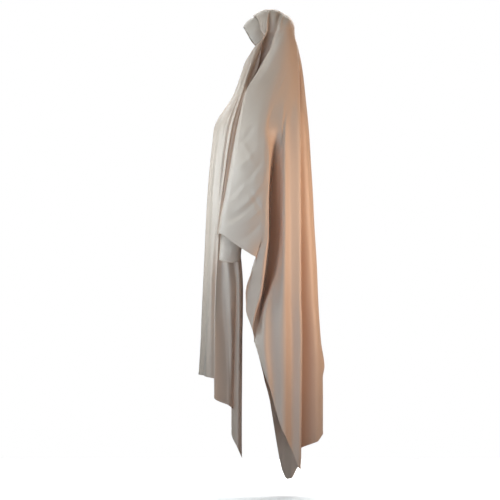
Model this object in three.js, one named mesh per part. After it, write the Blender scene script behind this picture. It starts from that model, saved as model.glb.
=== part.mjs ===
// A full-length khimar veil in the form that it takes when it is worn: a gathered hood on a forehead band,
// a cape that hangs from the crown over shoulders and arms, a front panel that starts under the chin, and two cuffs.
// Millimetres. +X is the wearer's left, -Y the front, +Z up. The origin is the inside of the crown, where it sits.
import * as THREE from "three";

// Driving dimensions.
const WALL = 2; // thickness of the cloth
const LAP = 4; // distance from the outside of a covered cloth to the outside of the one over it
const SEAM_GAP = 0.6; // between the two back panels along the crown and the centre back
const CHIN_DROP = 204; // from the crown to the chin
const WRIST_DROP = 766; // from the crown to the wrist
const BACK_DROP = 1548; // from the crown to the lowest point of the back hem
const FRONT_DROP = 1239; // from the crown to the hem at the centre front
const FLAP_DROP = 1517; // from the crown to the lowest corner of the front's side flap
const SLEEVE_DROP = 846; // from the crown to the rear corner of the sleeve's hem
const FAR_SIDE_EXTRA = 160; // how much lower the right back panel's hem hangs at its side
const FRONT_REACH = 238; // from the head's axis to the front hem
const REAR_REACH = 184; // from the head's axis to the rear of the cape
const HALF_SPAN = 280; // from the middle to the outside of a sleeve
const HEAD_FRONT = 85; // from the head's axis to the forehead
const HEAD_REAR = 88; // from the head's axis to the back of the head
const HEAD_HALF_WIDTH = 89; // from the middle to the cloth at the temple
const CROWN_TOP_Y = 10; // where the crown is highest
const CROWN_FRONT_REACH = 90; // from there to the front end of the crown's profile
const CROWN_REAR_REACH = 82; // from there to the rear end of the profile
const CROWN_HEIGHT = 88; // from the crown down to the profile's ends
const CROWN_SQUARENESS = 2.4; // 2 would make the profile two quarters of an ellipse
const GATHER_DEPTH = 3; // depth of the gathers at the forehead band
const BAND_LAP = 9; // how far the forehead band runs in under the gathers
const CUFF_DEPTH = 70; // across the wrist end of the cuff from front to rear
const CUFF_WIDTH = 46; // across the wrist end from inside to outside
const CUFF_DROP = 852; // from the crown to the wrist end
const CUFF_LENGTH = 252; // from the wrist end to the edge that is sewn inside the sleeve
const CUFF_SLANT = 12; // how much higher the wrist end's front is than its rear

// How finely each sheet is divided.
const COLUMNS_PER_FOLD = 2;
const GATHER_COLUMNS = 5;
const CROWN_ROWS = 4;
const BACK_ROWS = 18;
const FRONT_ROWS = 19;
const ROW_EASE = 1.35; // above 1 the rows lie closer together at the head
const BAND_ROWS = 4;
const BAND_COLUMNS = 18;
const CUFF_SIDES = 14;
const CUFF_ROWS = 4;

// Heights at which the folds are placed. The drop is made of shares of three lengths: crown to chin, chin to
// wrist, and wrist to the back hem.
const LEVELS = {
  temple: { head: 0.36, arm: 0, skirt: 0 },
  brow: { head: 0.45, arm: 0, skirt: 0 },
  jaw: { head: 0.61, arm: 0, skirt: 0 },
  throat: { head: 0.99, arm: 0, skirt: 0 },
  shoulder: { head: 1, arm: 0.15, skirt: 0 },
  chest: { head: 1, arm: 0.365, skirt: 0 },
  bust: { head: 1, arm: 0.415, skirt: 0 },
  elbow: { head: 1, arm: 0.667, skirt: 0 },
  wrist: { head: 1, arm: 1, skirt: 0 },
  cuff: { head: 1, arm: 1, skirt: 0.12 },
  grip: { head: 1, arm: 1, skirt: 0.24 },
  hip: { head: 1, arm: 1, skirt: 0.35 },
  thigh: { head: 1, arm: 1, skirt: 0.456 },
  calf: { head: 1, arm: 1, skirt: 0.57 },
  knee: { head: 1, arm: 1, skirt: 0.617 },
  shin: { head: 1, arm: 1, skirt: 0.825 },
};
const HEAD_LEVELS = ["temple", "brow", "jaw"];

// The folds of a back panel, from its front edge to the centre back. Each pair places a fold at a level: along,
// a share of the reach ahead of the head's axis (negative) or behind it, and out, a share of the half-width.
// crown is where the fold starts on the crown's profile. Its lower end is sleeve, a share of the sleeve's drop,
// or hem, a share of the back's drop. far is how much lower it ends on the right panel, a share of the extra
// drop there.
const BACK_FOLDS = [
  { name: "front_edge", crown: -0.64, temple: [-0.34, 0.89], brow: [-0.2, 0.88], jaw: [-0.49, 1.02],
    throat: [-0.282, 0.36], shoulder: [-0.398, 0.515], chest: [-0.55, 0.65], elbow: [-0.654, 0.725],
    wrist: [-0.743, 0.79], sleeve: 0.912 },
  { name: "strip", crown: 0.097, temple: [-0.08, 0.99], brow: [-0.155, 1.03], jaw: [-0.36, 1.12],
    throat: [-0.252, 0.4], shoulder: [-0.368, 0.55], chest: [-0.514, 0.685], elbow: [-0.622, 0.765],
    wrist: [-0.729, 0.83], sleeve: 0.907 },
  { name: "hood_valley", crown: 0.14, temple: [0.178, 0.91], brow: [0.143, 0.9], jaw: [0.05, 0.91],
    throat: [-0.164, 0.31], shoulder: [-0.322, 0.52], chest: [-0.457, 0.65], elbow: [-0.586, 0.75],
    wrist: [-0.711, 0.83], sleeve: 0.916 },
  { name: "shoulder_edge", crown: 0.657, temple: [0.5, 1], brow: [0.379, 1.04], jaw: [0.205, 1.12],
    throat: [-0.107, 0.42], shoulder: [-0.322, 0.6], chest: [-0.421, 0.75], elbow: [-0.55, 0.84],
    wrist: [-0.686, 0.88], sleeve: 0.9 },
  { name: "arm_front", crown: 0.72, temple: [0.63, 0.99], brow: [0.56, 1.04], jaw: [0.46, 1.16],
    throat: [0.035, 0.45], shoulder: [-0.2, 0.635], chest: [-0.28, 0.83], elbow: [-0.36, 0.94],
    wrist: [-0.457, 0.965], sleeve: 0.944 },
  { name: "arm_crest", crown: 0.765, temple: [0.73, 0.95], brow: [0.7, 1.01], jaw: [0.65, 1.14],
    throat: [0.2, 0.45], shoulder: [-0.03, 0.645], chest: [-0.13, 0.865], elbow: [-0.17, 0.985],
    wrist: [-0.25, 1], sleeve: 0.982 },
  { name: "sleeve_corner", crown: 0.8, temple: [0.79, 0.9], brow: [0.78, 0.96], jaw: [0.75, 1.1],
    throat: [0.28, 0.44], shoulder: [0.06, 0.64], chest: [-0.06, 0.865], elbow: [-0.075, 0.985],
    wrist: [-0.12, 0.995], cuff: [-0.19, 0.965], grip: [-0.34, 0.93], sleeve: 1 },
  { name: "side_roll", crown: 0.835, temple: [0.835, 0.85], brow: [0.83, 0.91], jaw: [0.81, 1.06],
    throat: [0.335, 0.42], shoulder: [0.13, 0.625], chest: [-0.025, 0.855], elbow: [-0.035, 0.975],
    wrist: [-0.055, 0.985], cuff: [-0.2, 0.94], grip: [-0.29, 0.89], hip: [-0.318, 0.86], hem: 0.66 },
  { name: "arm_rear_ridge", crown: 0.865, temple: [0.865, 0.79], brow: [0.865, 0.85], jaw: [0.86, 1],
    throat: [0.36, 0.41], shoulder: [0.185, 0.61], chest: [0, 0.835], elbow: [-0.007, 0.95],
    wrist: [-0.012, 0.96], cuff: [-0.045, 0.95], grip: [-0.095, 0.93], hip: [-0.195, 0.9], thigh: [-0.25, 0.88],
    hem: 0.7 },
  { name: "side_valley", crown: 0.89, temple: [0.9, 0.72], brow: [0.905, 0.78], jaw: [0.905, 0.92],
    throat: [0.405, 0.385], shoulder: [0.26, 0.58], chest: [0.17, 0.78], bust: [0.155, 0.755],
    elbow: [0.06, 0.66], wrist: [0.02, 0.57], cuff: [-0.018, 0.55], grip: [-0.065, 0.57], hip: [-0.125, 0.65],
    thigh: [-0.2, 0.76], hem: 0.726 },
  { name: "low_ridge", crown: 0.91, temple: [0.93, 0.65], brow: [0.935, 0.7], jaw: [0.96, 0.83],
    throat: [0.45, 0.355], shoulder: [0.35, 0.545], chest: [0.265, 0.755], elbow: [0.25, 0.745],
    wrist: [0.225, 0.72], cuff: [0.16, 0.745], grip: [0.042, 0.81], hip: [-0.05, 0.855], thigh: [-0.055, 0.885],
    knee: [0, 0.89], hem: 0.816, far: 0.25 },
  { name: "side_ridge", crown: 0.93, temple: [0.955, 0.56], brow: [0.965, 0.61], jaw: [1.01, 0.72],
    throat: [0.49, 0.32], shoulder: [0.425, 0.5], chest: [0.305, 0.77], elbow: [0.296, 0.825],
    wrist: [0.296, 0.845], grip: [0.287, 0.857], thigh: [0.296, 0.865], shin: [0.3, 0.865], hem: 0.93,
    far: 0.95 },
  { name: "back_valley", crown: 0.945, temple: [0.973, 0.47], brow: [0.985, 0.51], jaw: [1.05, 0.61],
    throat: [0.527, 0.27], shoulder: [0.49, 0.445], chest: [0.39, 0.72], elbow: [0.39, 0.765],
    wrist: [0.407, 0.77], grip: [0.41, 0.77], thigh: [0.44, 0.765], shin: [0.43, 0.77], hem: 0.96, far: 0.74 },
  { name: "back_ridge", crown: 0.958, temple: [0.99, 0.38], brow: [1.005, 0.41], jaw: [1.085, 0.5],
    throat: [0.555, 0.22], shoulder: [0.555, 0.38], chest: [0.565, 0.65], elbow: [0.57, 0.7],
    wrist: [0.575, 0.715], grip: [0.578, 0.73], thigh: [0.6, 0.735], shin: [0.575, 0.74], hem: 1.003,
    far: 0.06 },
  { name: "back_step", crown: 0.97, temple: [1.005, 0.28], brow: [1.02, 0.31], jaw: [1.11, 0.37],
    throat: [0.585, 0.165], shoulder: [0.6, 0.28], chest: [0.6, 0.45], elbow: [0.607, 0.47],
    wrist: [0.61, 0.48], grip: [0.617, 0.48], thigh: [0.64, 0.49], shin: [0.6, 0.5], hem: 0.963 },
  { name: "rear_swell", crown: 0.98, temple: [1.015, 0.18], brow: [1.03, 0.2], jaw: [1.125, 0.235],
    throat: [0.61, 0.105], shoulder: [0.65, 0.18], chest: [0.695, 0.305], elbow: [0.74, 0.34],
    wrist: [0.78, 0.36], grip: [0.815, 0.37], thigh: [0.87, 0.385], shin: [0.9, 0.4], hem: 0.946 },
  { name: "rear_edge", crown: 0.99, temple: [1.02, 0.09], brow: [1.037, 0.1], jaw: [1.14, 0.115],
    throat: [0.63, 0.05], shoulder: [0.685, 0.085], chest: [0.75, 0.155], elbow: [0.805, 0.185],
    wrist: [0.855, 0.2], grip: [0.905, 0.207], thigh: [0.955, 0.215], calf: [1.02, 0.215],
    knee: [0.985, 0.217], shin: [0.99, 0.22], hem: 0.931 },
  { name: "centre_back", crown: 1, temple: [1.02, 0], brow: [1.037, 0], jaw: [1.143, 0], throat: [0.63, 0],
    shoulder: [0.675, 0], chest: [0.713, 0], elbow: [0.75, 0], wrist: [0.787, 0], grip: [0.824, 0],
    thigh: [0.86, 0], shin: [0.88, 0], hem: 0.935 },
];

// The folds of the front panel, from the centre front to the edge of the side flap. top is where the fold
// starts, at the face opening or under the back panel: the drop as a share of the chin's, along, and out.
// front is the lower end as a share of the front's drop, and flap as a share of the flap's drop.
const FRONT_FOLDS = [
  { name: "centre_front", top: [1, -0.36, 0], shoulder: [-0.489, 0], chest: [-0.765, 0], bust: [-0.777, 0],
    elbow: [-0.836, 0], wrist: [-0.881, 0], grip: [-0.921, 0], thigh: [-0.95, 0], knee: [-0.98, 0], front: 1 },
  { name: "front_ridge", top: [0.99, -0.36, 0.11], shoulder: [-0.49, 0.17], chest: [-0.775, 0.2],
    bust: [-0.787, 0.205], elbow: [-0.846, 0.21], wrist: [-0.893, 0.21], grip: [-0.93, 0.21],
    thigh: [-0.957, 0.21], knee: [-0.991, 0.2], front: 1 },
  { name: "front_valley", top: [0.94, -0.345, 0.195], shoulder: [-0.457, 0.28], chest: [-0.72, 0.33],
    bust: [-0.728, 0.335], elbow: [-0.793, 0.345], wrist: [-0.836, 0.35], grip: [-0.87, 0.35],
    thigh: [-0.895, 0.35], knee: [-0.92, 0.34], front: 1.002 },
  { name: "side_front_ridge", top: [0.84, -0.305, 0.24], throat: [-0.32, 0.255], shoulder: [-0.45, 0.365],
    chest: [-0.7, 0.44], bust: [-0.714, 0.45], elbow: [-0.78, 0.47], wrist: [-0.82, 0.48], grip: [-0.85, 0.485],
    thigh: [-0.875, 0.49], knee: [-0.893, 0.49], front: 1.004 },
  { name: "side_front_valley", top: [0.76, -0.26, 0.265], throat: [-0.28, 0.265], shoulder: [-0.42, 0.42],
    chest: [-0.643, 0.53], elbow: [-0.707, 0.55], wrist: [-0.764, 0.55], grip: [-0.8, 0.543],
    thigh: [-0.807, 0.54], knee: [-0.81, 0.535], front: 1.007 },
  { name: "tuck", top: [0.685, -0.22, 0.28], throat: [-0.25, 0.267], shoulder: [-0.4, 0.45],
    chest: [-0.6, 0.57], elbow: [-0.69, 0.61], wrist: [-0.714, 0.593], cuff: [-0.714, 0.565],
    grip: [-0.685, 0.535], hip: [-0.67, 0.53], knee: [-0.657, 0.52], front: 1.02 },
  { name: "flap_front", top: [0.63, -0.186, 0.285], throat: [-0.225, 0.268], shoulder: [-0.388, 0.46],
    chest: [-0.567, 0.59], elbow: [-0.66, 0.635], wrist: [-0.7, 0.63], cuff: [-0.72, 0.64],
    grip: [-0.743, 0.685], hip: [-0.757, 0.705], thigh: [-0.761, 0.715], knee: [-0.764, 0.72], flap: 0.865 },
  { name: "flap_valley", top: [0.61, -0.164, 0.285], throat: [-0.205, 0.268], shoulder: [-0.38, 0.465],
    chest: [-0.55, 0.6], elbow: [-0.635, 0.645], wrist: [-0.66, 0.615], cuff: [-0.65, 0.615],
    grip: [-0.65, 0.635], hip: [-0.628, 0.615], thigh: [-0.6, 0.59], knee: [-0.57, 0.58], flap: 0.882 },
  { name: "flap_tongue", top: [0.605, -0.147, 0.285], throat: [-0.188, 0.268], shoulder: [-0.373, 0.47],
    chest: [-0.536, 0.605], elbow: [-0.615, 0.655], wrist: [-0.61, 0.63], cuff: [-0.57, 0.645],
    grip: [-0.543, 0.665], hip: [-0.536, 0.675], thigh: [-0.521, 0.665], knee: [-0.521, 0.655], flap: 0.888 },
  { name: "inner_valley", top: [0.605, -0.13, 0.286], throat: [-0.175, 0.268], shoulder: [-0.365, 0.473],
    chest: [-0.525, 0.61], elbow: [-0.598, 0.66], wrist: [-0.55, 0.615], cuff: [-0.49, 0.605],
    grip: [-0.457, 0.607], hip: [-0.467, 0.585], thigh: [-0.475, 0.565], knee: [-0.486, 0.545], flap: 0.898 },
  { name: "inner_turn", top: [0.605, -0.114, 0.287], throat: [-0.165, 0.268], shoulder: [-0.36, 0.476],
    chest: [-0.515, 0.612], elbow: [-0.585, 0.662], wrist: [-0.51, 0.61], grip: [-0.46, 0.6],
    hip: [-0.48, 0.57], thigh: [-0.5, 0.545], knee: [-0.514, 0.525], shin: [-0.52, 0.53], flap: 0.944 },
  { name: "inner_ridge", top: [0.605, -0.1, 0.288], throat: [-0.158, 0.268], shoulder: [-0.355, 0.479],
    chest: [-0.507, 0.615], elbow: [-0.575, 0.664], wrist: [-0.47, 0.61], grip: [-0.414, 0.63],
    hip: [-0.414, 0.625], thigh: [-0.42, 0.615], knee: [-0.43, 0.6], shin: [-0.436, 0.595], flap: 0.977 },
  { name: "side_edge", top: [0.605, -0.085, 0.289], throat: [-0.15, 0.268], shoulder: [-0.35, 0.48],
    chest: [-0.5, 0.617], elbow: [-0.565, 0.664], wrist: [-0.42, 0.6], grip: [-0.357, 0.565],
    hip: [-0.362, 0.557], thigh: [-0.37, 0.55], knee: [-0.37, 0.55], shin: [-0.373, 0.55], flap: 1 },
];

// The forehead band's face edge, from the middle of the forehead to its end at the jaw: along and out as on the
// head levels, and drop as a share of the chin's. bulge is how far the cloth behind it stands out over the head.
const BAND_SECTIONS = [
  { at: 0, along: -1, out: 0, drop: 0.29, bulge: 0.03 },
  { at: 0.3, along: -0.94, out: 0.42, drop: 0.32, bulge: 0.045 },
  { at: 0.6, along: -0.8, out: 0.68, drop: 0.42, bulge: 0.05 },
  { at: 0.85, along: -0.66, out: 0.8, drop: 0.52, bulge: 0.03 },
  { at: 1, along: -0.49, out: 0.86, drop: 0.6, bulge: 0.015 },
];
const BAND_DOME = 0.75; // the share of the band's length that the crown's gathers cover

// The cuff, from the edge sewn inside the sleeve down to the wrist: depth and width as shares of the wrist
// end's, and front, the y of its front as a share of the reach ahead of the head's axis.
const CUFF_SECTIONS = [
  { at: 0, depth: 1.68, width: 0.9, front: -0.52 },
  { at: 0.55, depth: 1.2, width: 1.1, front: -0.655 },
  { at: 0.75, depth: 1.08, width: 1.08, front: -0.675 },
  { at: 1, depth: 1, width: 1, front: -0.69 },
];

const dropOf = (name) => {
  const { head, arm, skirt } = LEVELS[name];
  return head * CHIN_DROP + arm * (WRIST_DROP - CHIN_DROP) + skirt * (BACK_DROP - WRIST_DROP);
};
const bodyY = (along) => along * (along < 0 ? FRONT_REACH : REAR_REACH);
const headY = (along) => along * (along < 0 ? HEAD_FRONT : HEAD_REAR);

// The crown's profile in the middle plane: a superellipse with its own half-length before and behind the top.
function crownZ(y) {
  const share = Math.abs(y - CROWN_TOP_Y) / (y < CROWN_TOP_Y ? CROWN_FRONT_REACH : CROWN_REAR_REACH);
  const height = Math.max(0, 1 - share ** CROWN_SQUARENESS) ** (1 / CROWN_SQUARENESS);
  return CROWN_HEIGHT * (height - 1);
}

// Smooth interpolation that never overshoots: cubic pieces whose slope at a knot is the harmonic mean of the
// slopes on either side of it, and flat where the values turn.
function smooth(knots, values, t) {
  const last = knots.length - 1;
  if (t <= knots[0]) return values[0];
  if (t >= knots[last]) return values[last];
  let i = 0;
  while (t > knots[i + 1]) i++;
  const rise = (k) => (values[k + 1] - values[k]) / (knots[k + 1] - knots[k]);
  const slope = (k) => {
    if (k === 0) return rise(0);
    if (k === last) return rise(last - 1);
    const [before, after] = [rise(k - 1), rise(k)];
    return before * after > 0 ? (2 * before * after) / (before + after) : 0;
  };
  const width = knots[i + 1] - knots[i];
  const s = (t - knots[i]) / width;
  const [m0, m1] = [slope(i) * width, slope(i + 1) * width];
  return (
    (1 + 2 * s) * (1 - s) ** 2 * values[i] +
    s * (1 - s) ** 2 * m0 +
    s * s * (3 - 2 * s) * values[i + 1] -
    s * s * (1 - s) * m1
  );
}

// A fold's own course: the heights of its knots, from the top down, with y and x at each, in millimetres.
function courseOf(fold, number) {
  const names = Object.keys(LEVELS).filter((name) => fold[name]);
  const course = { number, drops: names.map(dropOf), ys: [], xs: [] };
  for (const name of names) {
    const [along, out] = fold[name];
    const onHead = HEAD_LEVELS.includes(name);
    course.ys.push(onHead ? headY(along) : bodyY(along));
    course.xs.push(out * (onHead ? HEAD_HALF_WIDTH : HALF_SPAN));
  }
  if (fold.top) {
    course.drops.unshift(fold.top[0] * CHIN_DROP);
    course.ys.unshift(bodyY(fold.top[1]));
    course.xs.unshift(fold.top[2] * HALF_SPAN);
  }
  return course;
}

// The courses with the one beside the middle fold mirrored past it, so that the sheet runs smoothly across.
function pastMiddle(courses, middle, beside) {
  const mirrored = { ...courses[beside], number: 2 * middle - beside, xs: courses[beside].xs.map((x) => -x) };
  return beside < middle ? [...courses, mirrored] : [mirrored, ...courses];
}

// The point of a folded sheet between its folds: u counts folds, and drop is measured down from the crown.
function foldedPoint(courses, u, drop) {
  const numbers = courses.map((c) => c.number);
  const at = (key) => smooth(numbers, courses.map((c) => smooth(c.drops, c[key], drop)), u);
  return new THREE.Vector3(at("xs"), at("ys"), -drop);
}

const valueAt = (values, u) => smooth(values.map((_, k) => k), values, u);

const BACK_COURSES = pastMiddle(BACK_FOLDS.map(courseOf), BACK_FOLDS.length - 1, BACK_FOLDS.length - 2);
const BACK_ENDS = BACK_FOLDS.map((f) => (f.hem ? f.hem * BACK_DROP : f.sleeve * SLEEVE_DROP));
const BACK_FAR = BACK_FOLDS.map((f) => f.far ?? 0);
const BACK_CROWN = BACK_FOLDS.map((f) => headY(f.crown));
const FRONT_COURSES = pastMiddle(FRONT_FOLDS.map(courseOf), 0, 1);
const FRONT_TOPS = FRONT_FOLDS.map((f) => f.top[0] * CHIN_DROP);
const FRONT_ENDS = FRONT_FOLDS.map((f) => (f.flap ? f.flap * FLAP_DROP : f.front * FRONT_DROP));

// A closed solid from rows of points on its outside: the inside is the same sheet, moved in by the wall along
// the normals. Rows run down and columns across, and the outside faces down x across; flip is for a sheet
// whose outside faces the other way. loop joins the last column to the first. At the plane x = middle the wall
// stays in the plane.
function sheetSolid(rows, { loop = false, flip = false, middle = null } = {}) {
  const [height, width] = [rows.length, rows[0].length];
  const column = (c) => (loop ? (c + width) % width : Math.min(Math.max(c, 0), width - 1));
  const row = (r) => Math.min(Math.max(r, 0), height - 1);
  const point = (r, c) => rows[row(r)][column(c)];
  const outside = [];
  const inside = [];
  for (let r = 0; r < height; r++)
    for (let c = 0; c < width; c++) {
      const across = new THREE.Vector3().subVectors(point(r, c + 1), point(r, c - 1)).normalize();
      const down = new THREE.Vector3().subVectors(point(r + 1, c), point(r - 1, c)).normalize();
      const normal = new THREE.Vector3().crossVectors(across, down).multiplyScalar(flip ? 1 : -1);
      const p = point(r, c);
      if (middle !== null && Math.abs(p.x - middle) < SEAM_GAP / 10) normal.x = 0;
      outside.push(p);
      inside.push(p.clone().addScaledVector(normal.normalize(), WALL));
    }
  const points = [...outside, ...inside];
  const faces = [];
  const quad = (a, b, c, d) => faces.push(...(flip ? [a, c, b, a, d, c] : [a, b, c, a, c, d]));
  const index = (r, c, side) => side * height * width + r * width + column(c);
  const columns = loop ? width : width - 1;
  for (let r = 0; r < height - 1; r++)
    for (let c = 0; c < columns; c++) {
      quad(index(r, c, 0), index(r, c + 1, 0), index(r + 1, c + 1, 0), index(r + 1, c, 0));
      quad(index(r, c, 1), index(r + 1, c, 1), index(r + 1, c + 1, 1), index(r, c + 1, 1));
    }
  for (let c = 0; c < columns; c++) {
    quad(index(0, c, 0), index(0, c, 1), index(0, c + 1, 1), index(0, c + 1, 0));
    quad(index(height - 1, c, 0), index(height - 1, c + 1, 0), index(height - 1, c + 1, 1), index(height - 1, c, 1));
  }
  if (!loop)
    for (let r = 0; r < height - 1; r++) {
      quad(index(r, 0, 0), index(r + 1, 0, 0), index(r + 1, 0, 1), index(r, 0, 1));
      quad(index(r, width - 1, 0), index(r, width - 1, 1), index(r + 1, width - 1, 1), index(r + 1, width - 1, 0));
    }
  const geometry = new THREE.BufferGeometry();
  geometry.setAttribute("position", new THREE.Float32BufferAttribute(points.flatMap((p) => p.toArray()), 3));
  geometry.setIndex(faces);
  return geometry;
}

const steps = (count, from = 0, to = 1) =>
  Array.from({ length: count + 1 }, (_, i) => from + ((to - from) * i) / count);

// How far a back panel's cloth sinks in the gathers between its front edge and the strip behind them. They
// start on the crown and run out at the jaw.
function gatherDepth(u, drop) {
  const fade = Math.max(0, 1 - drop / dropOf("jaw"));
  return u < 1 ? GATHER_DEPTH * fade * Math.sin(2 * Math.PI * u) ** 2 : 0;
}

// A point of the hood: each fold rises from the temple along a quarter of an ellipse to the crown's profile.
function hoodPoint(u, turn) {
  const y = valueAt(BACK_CROWN, u);
  const temple = foldedPoint(BACK_COURSES, u, dropOf("temple"));
  const side = Math.sin(turn);
  const top = crownZ(y);
  const z = top + (temple.z - top) * (1 - Math.cos(turn));
  return new THREE.Vector3(temple.x * side, y + (temple.y - y) * side, z);
}

// One back panel: the hood over the head, and below the temple its folds down to the hem.
function backPanel(side) {
  const folds = BACK_FOLDS.length - 1;
  const columns = [...steps(GATHER_COLUMNS), ...steps(COLUMNS_PER_FOLD * (folds - 1), 1, folds).slice(1)];
  const rows = [];
  for (const turn of steps(CROWN_ROWS, 0, Math.PI / 2).slice(0, -1))
    rows.push(
      columns.map((u) => {
        const point = hoodPoint(u, turn);
        point.z -= gatherDepth(u, -point.z);
        return point;
      }),
    );
  const top = dropOf("temple");
  for (const step of steps(BACK_ROWS)) {
    const share = step ** ROW_EASE;
    rows.push(
      columns.map((u) => {
        const end = valueAt(BACK_ENDS, u) + (side < 0 ? FAR_SIDE_EXTRA * valueAt(BACK_FAR, u) : 0);
        const drop = top + (end - top) * share;
        const point = foldedPoint(BACK_COURSES, u, drop);
        point.x -= gatherDepth(u, drop);
        return point;
      }),
    );
  }
  const placed = rows.map((r) => r.map((p) => new THREE.Vector3(side * (p.x + SEAM_GAP / 2), p.y, p.z)));
  return sheetSolid(placed, { flip: side > 0, middle: (side * SEAM_GAP) / 2 });
}

// The front panel, from the edge of one side flap to the edge of the other.
function frontPanel() {
  const folds = FRONT_FOLDS.length - 1;
  const columns = steps(2 * COLUMNS_PER_FOLD * folds, -folds, folds);
  const rows = steps(FRONT_ROWS).map((step) =>
    columns.map((signed) => {
      const u = Math.abs(signed);
      const top = valueAt(FRONT_TOPS, u);
      const drop = top + (valueAt(FRONT_ENDS, u) - top) * step ** ROW_EASE;
      const point = foldedPoint(FRONT_COURSES, u, drop);
      point.x *= Math.sign(signed);
      return point;
    }),
  );
  return sheetSolid(rows, { flip: true });
}

// The edge of the band that lies under the back panels: their own front edge, moved back and in.
function bandRear(t) {
  const under = Math.max(0, (t - BAND_DOME) / (1 - BAND_DOME));
  const drop = dropOf("temple") + (dropOf("brow") - dropOf("temple")) * under;
  const point = under > 0 ? foldedPoint(BACK_COURSES, 0, drop) : hoodPoint(0, ((t / BAND_DOME) * Math.PI) / 2);
  const outward = new THREE.Vector3(point.x, point.y, point.z + CROWN_HEIGHT).normalize();
  point.addScaledVector(outward, -LAP - GATHER_DEPTH);
  point.y += BAND_LAP;
  return point;
}

// The forehead band, from jaw to jaw over the forehead.
function foreheadBand() {
  const at = BAND_SECTIONS.map((s) => s.at);
  const value = (key, t) => smooth(at, BAND_SECTIONS.map((s) => s[key]), t);
  const rows = steps(BAND_ROWS).map((share) =>
    steps(BAND_COLUMNS, -1, 1).map((signed) => {
      const t = Math.abs(signed);
      const face = [value("out", t) * HEAD_HALF_WIDTH, headY(value("along", t)), -value("drop", t) * CHIN_DROP];
      const point = new THREE.Vector3(...face).lerp(bandRear(t), share);
      const outward = new THREE.Vector3(point.x, point.y, point.z + CROWN_HEIGHT).normalize();
      point.addScaledVector(outward, value("bulge", t) * CHIN_DROP * Math.sin(Math.PI * share));
      point.x *= Math.sign(signed);
      return point;
    }),
  );
  return sheetSolid(rows);
}

// A cuff with the narrow end of the inner sleeve above it. Its outside follows the inner face of the sleeve.
function cuff(side) {
  const at = CUFF_SECTIONS.map((s) => s.at);
  const rows = steps(CUFF_ROWS).map((share) => {
    const value = (key) => smooth(at, CUFF_SECTIONS.map((s) => s[key]), share);
    const drop = CUFF_DROP - CUFF_LENGTH * (1 - share);
    const [depth, width] = [CUFF_DEPTH * value("depth"), CUFF_WIDTH * value("width")];
    const front = bodyY(value("front"));
    const out = sleeveInside(front, drop) - LAP;
    return steps(CUFF_SIDES, 0, 2 * Math.PI)
      .slice(0, -1)
      .map((turn) => {
        const [across, back] = [Math.cos(turn), Math.sin(turn)];
        return new THREE.Vector3(
          side * (out + (width / 2) * (across - 1)),
          front + (depth / 2) * (1 + back),
          -drop - (CUFF_SLANT / 2) * share * back,
        );
      });
  });
  return sheetSolid(rows, { loop: true, flip: side > 0 });
}

// The inner face of the sleeve over a point at its front, between the shoulder edge and the arm's front fold.
function sleeveInside(y, drop) {
  const first = BACK_FOLDS.findIndex((f) => f.name === "shoulder_edge");
  const level = Math.min(drop, SLEEVE_DROP * BACK_FOLDS[first].sleeve);
  const [edge, plane] = [first, first + 1].map((u) => foldedPoint(BACK_COURSES, u, level));
  const share = Math.min(1, Math.max(0, (y - edge.y) / (plane.y - edge.y)));
  return edge.x + (plane.x - edge.x) * share - WALL;
}

const cloth = (color, roughness) =>
  new THREE.MeshStandardMaterial({ color, roughness, metalness: 0, side: THREE.FrontSide });
const VEIL_CLOTH = cloth(0xcbb8a6, 0.5);
const BAND_CLOTH = cloth(0xc3b4a3, 0.7);

const veil = new THREE.Group();
veil.position.z = WALL; // the drops are measured from the outside of the crown
function add(name, geometry, material) {
  const mesh = new THREE.Mesh(geometry, material);
  mesh.name = name;
  veil.add(mesh);
}
add("back_panel_left", backPanel(1), VEIL_CLOTH);
add("back_panel_right", backPanel(-1), VEIL_CLOTH);
add("front_panel", frontPanel(), VEIL_CLOTH);
add("forehead_band", foreheadBand(), BAND_CLOTH);
add("cuff_left", cuff(1), VEIL_CLOTH);
add("cuff_right", cuff(-1), VEIL_CLOTH);

export default veil;
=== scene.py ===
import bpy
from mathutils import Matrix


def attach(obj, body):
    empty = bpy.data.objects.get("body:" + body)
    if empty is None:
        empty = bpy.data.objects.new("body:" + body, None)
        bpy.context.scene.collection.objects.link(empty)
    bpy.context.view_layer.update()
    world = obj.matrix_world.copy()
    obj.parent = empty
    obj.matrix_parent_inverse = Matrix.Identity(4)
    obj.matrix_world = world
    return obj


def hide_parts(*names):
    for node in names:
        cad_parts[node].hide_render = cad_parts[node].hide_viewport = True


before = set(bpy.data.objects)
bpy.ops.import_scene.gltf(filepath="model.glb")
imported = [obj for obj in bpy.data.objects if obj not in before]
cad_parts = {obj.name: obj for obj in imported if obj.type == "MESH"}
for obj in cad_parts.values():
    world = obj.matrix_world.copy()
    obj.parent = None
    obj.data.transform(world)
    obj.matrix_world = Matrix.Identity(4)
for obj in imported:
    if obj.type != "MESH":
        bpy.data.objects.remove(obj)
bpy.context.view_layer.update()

import math

import bmesh
import bpy
import numpy as np
from mathutils import Vector

# Driving sizes of the veil, as the solids have them.
MM = 0.001
WALL = 2 * MM
CLOTH = 0.7 * MM  # thickness of the visible cloth, with its weave
CHIN_DROP = 204 * MM
WRIST_DROP = 766 * MM
BACK_DROP = 1548 * MM
FRONT_DROP = 1239 * MM
FLAP_DROP = 1517 * MM
SLEEVE_DROP = 846 * MM
FAR_SIDE_EXTRA = 160 * MM
FRONT_REACH = 238 * MM
REAR_REACH = 184 * MM
HALF_SPAN = 280 * MM
HEAD_FRONT = 85 * MM
HEAD_REAR = 88 * MM
HEAD_HALF_WIDTH = 89 * MM
CROWN_TOP_Y = 10 * MM
CROWN_FRONT_REACH = 90 * MM
CROWN_REAR_REACH = 82 * MM
CROWN_HEIGHT = 88 * MM
CROWN_SQUARENESS = 2.4
LAP = 4 * MM  # how deep the band's hidden edge and the cuffs lie under the cape
BAND_LAP = 9 * MM  # how far the band goes back under the gathers
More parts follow.
